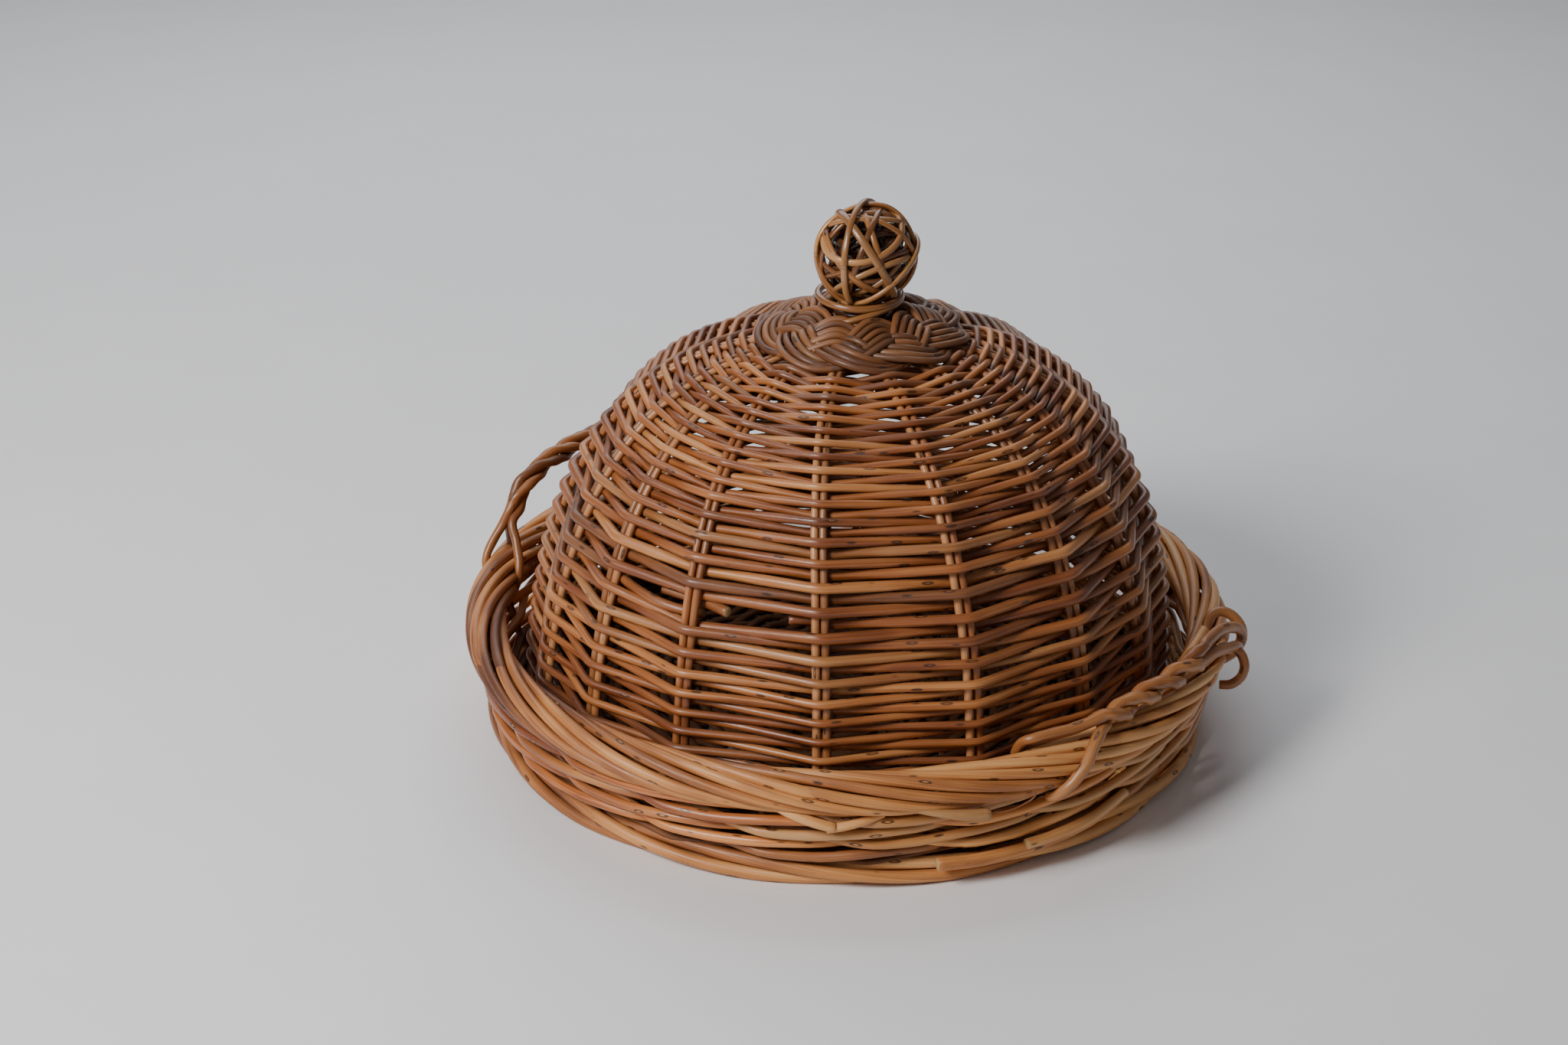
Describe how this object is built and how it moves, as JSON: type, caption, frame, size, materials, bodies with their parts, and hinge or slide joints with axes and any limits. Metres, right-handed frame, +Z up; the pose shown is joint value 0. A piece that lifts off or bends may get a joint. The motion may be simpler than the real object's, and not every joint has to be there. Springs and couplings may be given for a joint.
{
  "type": "wicker cloche basket",
  "caption": "Woven willow dome with a woven ball knob, standing in a round wicker tray with twisted rope handles. It covers bread, cheese or cake, and the dome lifts off.",
  "frame": {"origin": "on the ground, under the middle of the tray", "axes": "+Z up, +X through both handles, towards the one that lies on the border"},
  "size_m": [0.3978, 0.3978, 0.2762],
  "materials": {
    "stake_willow": "satin buff willow",
    "weaver_willow": "satin buff willow",
    "plait_willow": "satin buff willow",
    "knob_willow": "satin buff willow",
    "floor_willow": "satin buff willow",
    "border_willow": "satin buff willow",
    "handle_willow": "satin buff willow"
  },
  "bodies": {
    "tray": {"tray_floor_and_stakes": "floor_willow", "tray_foot_strand_1": "border_willow", "tray_foot_strand_2": "border_willow", "tray_foot_strand_3": "border_willow", "tray_wall_weaver_1": "weaver_willow", "tray_wall_weaver_2": "weaver_willow", "tray_wall_weaver_3": "weaver_willow", "tray_wall_weaver_4": "weaver_willow", "tray_border_strand_1": "border_willow", "tray_border_strand_2": "border_willow", "tray_border_strand_3": "border_willow", "tray_border_strand_4": "border_willow", "tray_border_strand_5": "border_willow", "tray_border_strand_6": "border_willow", "handle_tie_1": "handle_willow", "handle_tie_2": "handle_willow", "handle_tie_3": "handle_willow", "handle_tie_4": "handle_willow"},
    "lid": {"lid_stake_pair_01": "stake_willow", "lid_stake_pair_02": "stake_willow", "lid_stake_pair_03": "stake_willow", "lid_stake_pair_04": "stake_willow", "lid_stake_pair_05": "stake_willow", "lid_stake_pair_06": "stake_willow", "lid_stake_pair_07": "stake_willow", "lid_stake_pair_08": "stake_willow", "lid_stake_pair_09": "stake_willow", "lid_stake_pair_10": "stake_willow", "lid_stake_pair_11": "stake_willow", "lid_stake_pair_12": "stake_willow", "lid_stake_pair_13": "stake_willow", "lid_stake_pair_14": "stake_willow", "lid_stake_pair_15": "stake_willow", "lid_stake_pair_16": "stake_willow", "lid_rim_hoop": "stake_willow", "lid_weaver_a1": "weaver_willow", "lid_weaver_a2": "weaver_willow", "lid_weaver_a3": "weaver_willow", "lid_weaver_a4": "weaver_willow", "lid_weaver_a5": "weaver_willow", "lid_weaver_a6": "weaver_willow", "lid_weaver_a7": "weaver_willow", "lid_weaver_b1": "weaver_willow", "lid_weaver_b2": "weaver_willow", "lid_weaver_b3": "weaver_willow", "lid_weaver_b4": "weaver_willow", "lid_weaver_b5": "weaver_willow", "lid_weaver_b6": "weaver_willow", "lid_weaver_b7": "weaver_willow", "lid_plait_band_1": "plait_willow", "lid_plait_band_2": "plait_willow", "lid_plait_band_3": "plait_willow", "knob_cross_sticks": "knob_willow", "knob_binding": "knob_willow", "knob_ball": "knob_willow"},
    "lying_handle": {"lying_handle_strand_1": "handle_willow", "lying_handle_strand_2": "handle_willow"},
    "standing_handle": {"standing_handle_strand_1": "handle_willow", "standing_handle_strand_2": "handle_willow", "standing_handle_strand_3": "handle_willow"}
  },
  "joints": [
    {"name": "lid_lift", "type": "slide", "parent": "tray", "child": "lid", "axis": [0, 0, 1], "range_m": [0, 0.16]},
    {"name": "lying_handle_raise", "type": "hinge", "parent": "tray", "child": "lying_handle", "pos_m": [0.17414, 0, 0.06915], "axis": [0, -1, 0], "range_deg": [0, 75]},
    {"name": "standing_handle_fold", "type": "hinge", "parent": "tray", "child": "standing_handle", "pos_m": [-0.17941, 0, 0.06961], "axis": [0, -1, 0], "range_deg": [-5, 80]}
  ]
}
